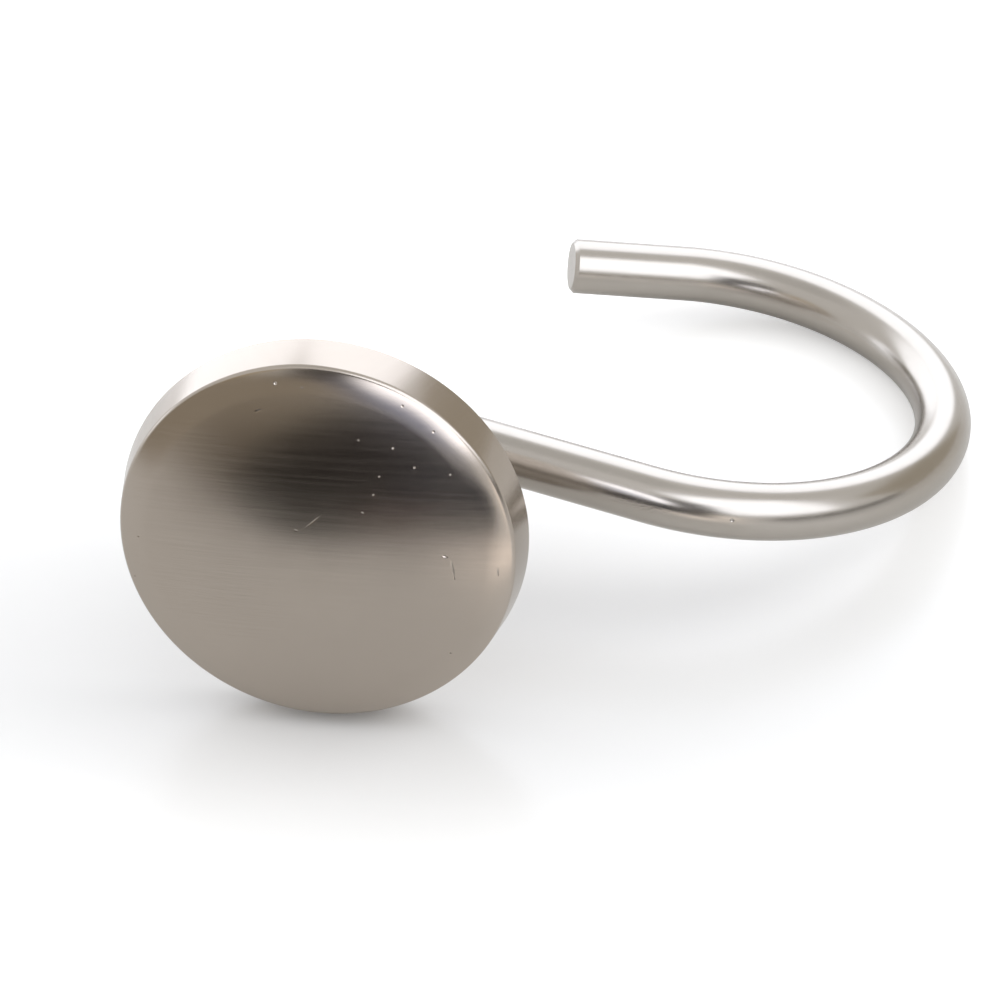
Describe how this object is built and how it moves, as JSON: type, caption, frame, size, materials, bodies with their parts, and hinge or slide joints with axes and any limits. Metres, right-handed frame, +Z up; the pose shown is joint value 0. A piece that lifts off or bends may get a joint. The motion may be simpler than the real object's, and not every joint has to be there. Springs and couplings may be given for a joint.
{
  "type": "curtain hook",
  "caption": "Ring-shaped curtain hook: a round, slightly domed head on one thick wire that bends behind the head, runs straight and turns through a wide open bow to a short free end.",
  "frame": {"origin": "on the surface that the hook lies on, under the middle of its bounding box", "axes": "+Z up; the face of the head looks along -Y, leaning back a little; the bow reaches towards +X and +Y"},
  "size_m": [0.0684, 0.0638, 0.0342],
  "materials": {
    "head_metal": "satin nickel plate, finely brushed, with a few small pits and scratches in the face",
    "wire_metal": "satin nickel plate, smooth, with a small nick in the near side of the bow"
  },
  "bodies": {
    "root": {"disc_head": "head_metal", "hook_wire": "wire_metal"}
  },
  "joints": []
}
